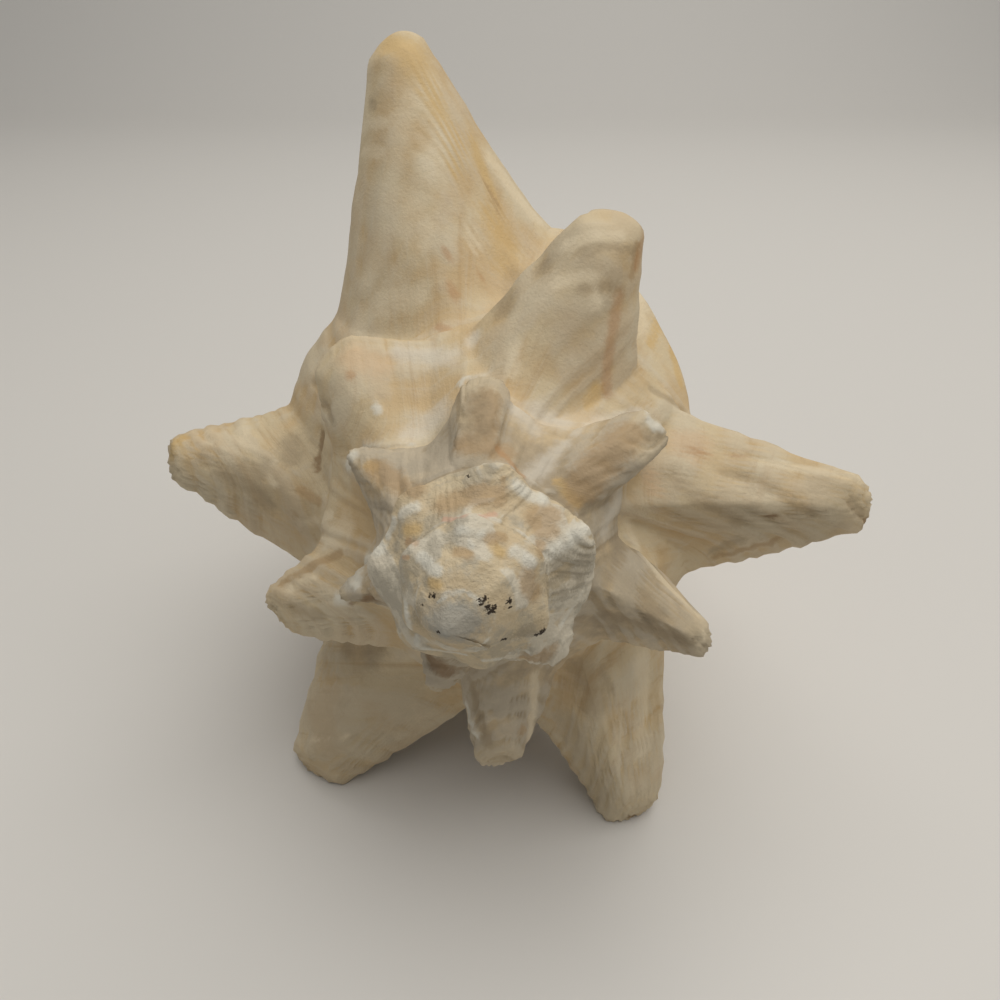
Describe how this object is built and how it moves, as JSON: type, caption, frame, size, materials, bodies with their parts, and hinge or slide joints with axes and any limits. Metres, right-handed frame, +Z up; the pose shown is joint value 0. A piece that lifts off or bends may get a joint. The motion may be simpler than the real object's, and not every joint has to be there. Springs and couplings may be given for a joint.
{
  "type": "spiny conch shell",
  "caption": "Large spiral seashell with a stepped spire, long blunt spines on its shoulder, a wide open mouth behind and a narrow canal, lying on spine tips and canal.",
  "frame": {"origin": "on the surface it lies on, below the middle of the shell's box", "axes": "+Z up, +Y from the spire towards the canal, +X to the right when the spire faces the viewer"},
  "size_m": [0.1633, 0.2064, 0.1598],
  "materials": {
    "shell": "weathered, matte to slightly satin"
  },
  "bodies": {
    "root": {"shell": "shell"}
  },
  "joints": []
}
